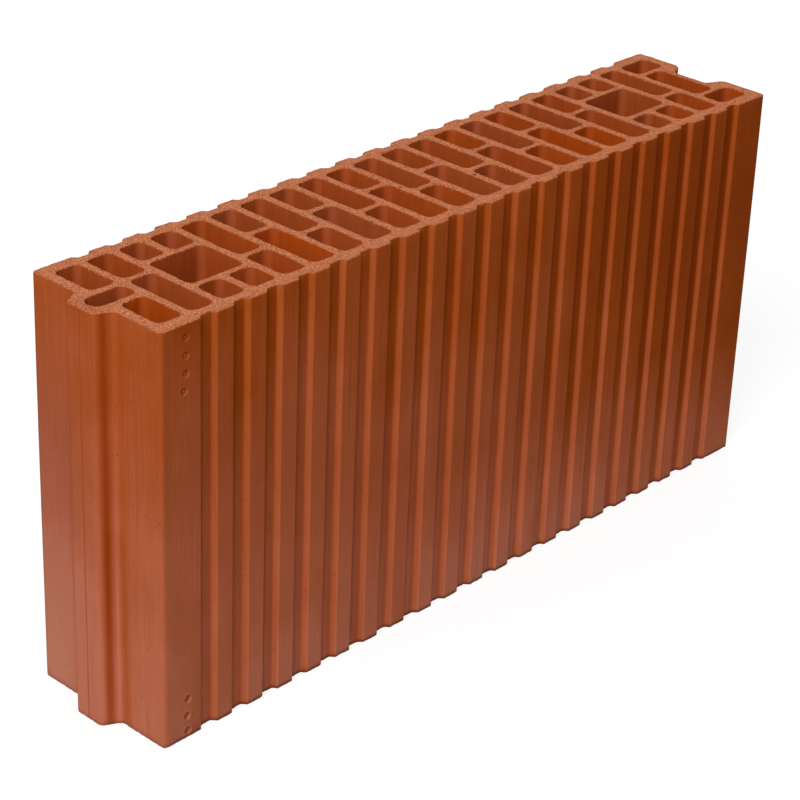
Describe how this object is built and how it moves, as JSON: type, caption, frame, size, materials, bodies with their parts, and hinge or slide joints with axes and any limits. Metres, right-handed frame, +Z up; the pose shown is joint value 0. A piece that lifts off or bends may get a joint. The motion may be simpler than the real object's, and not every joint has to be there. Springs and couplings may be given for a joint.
{
  "type": "hollow clay block",
  "caption": "Long hollow fired-clay partition block with upright cells, hand grips, ribbed faces, a tongue on one end and a matching groove on the other.",
  "frame": {"origin": "on the lower bed face, under the middle of the whole outline with the tongue", "axes": "+X along the wall towards the groove end, +Y through the wall's thickness, +Z up along the cells"},
  "size_m": [0.5106, 0.1, 0.249],
  "materials": {
    "fired_clay": "unglazed fired red clay, matt"
  },
  "bodies": {
    "root": {"clay_block": "fired_clay"}
  },
  "joints": []
}
